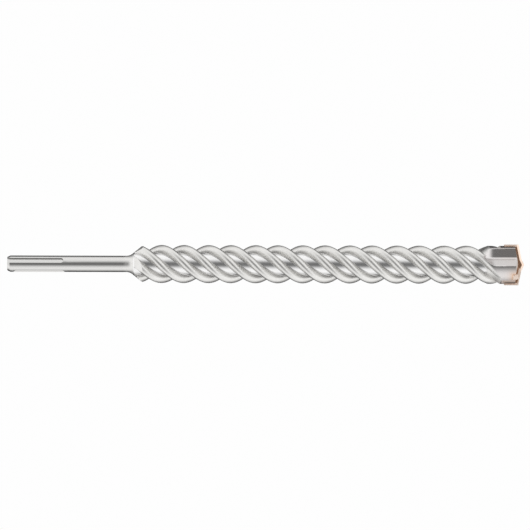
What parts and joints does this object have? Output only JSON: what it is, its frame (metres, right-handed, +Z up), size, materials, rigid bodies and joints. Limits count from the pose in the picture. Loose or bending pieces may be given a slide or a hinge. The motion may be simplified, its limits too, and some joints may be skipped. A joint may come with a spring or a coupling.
{
  "type": "slotted-shank masonry drill bit",
  "caption": "Long fluted hammer drill bit for masonry, with a slotted round shank and a head set with crossed carbide cutters.",
  "frame": {"origin": "on the surface that the bit lies on, below the middle of its length", "axes": "+X along the bit's axis, towards its tip; +Z up from the surface; the bit's axis is 21.22 mm above the origin; it lies on a corner of its main plate and a corner of one side cutter"},
  "size_m": [0.57, 0.042, 0.0424],
  "materials": {
    "steel": "bright, blasted on the lands and smooth in the flutes",
    "carbide": "ground carbide with a copper-coloured braze tint"
  },
  "bodies": {
    "root": {"drill_body": "steel", "main_cutter": "carbide", "side_cutter_1": "carbide", "side_cutter_2": "carbide"}
  },
  "joints": []
}
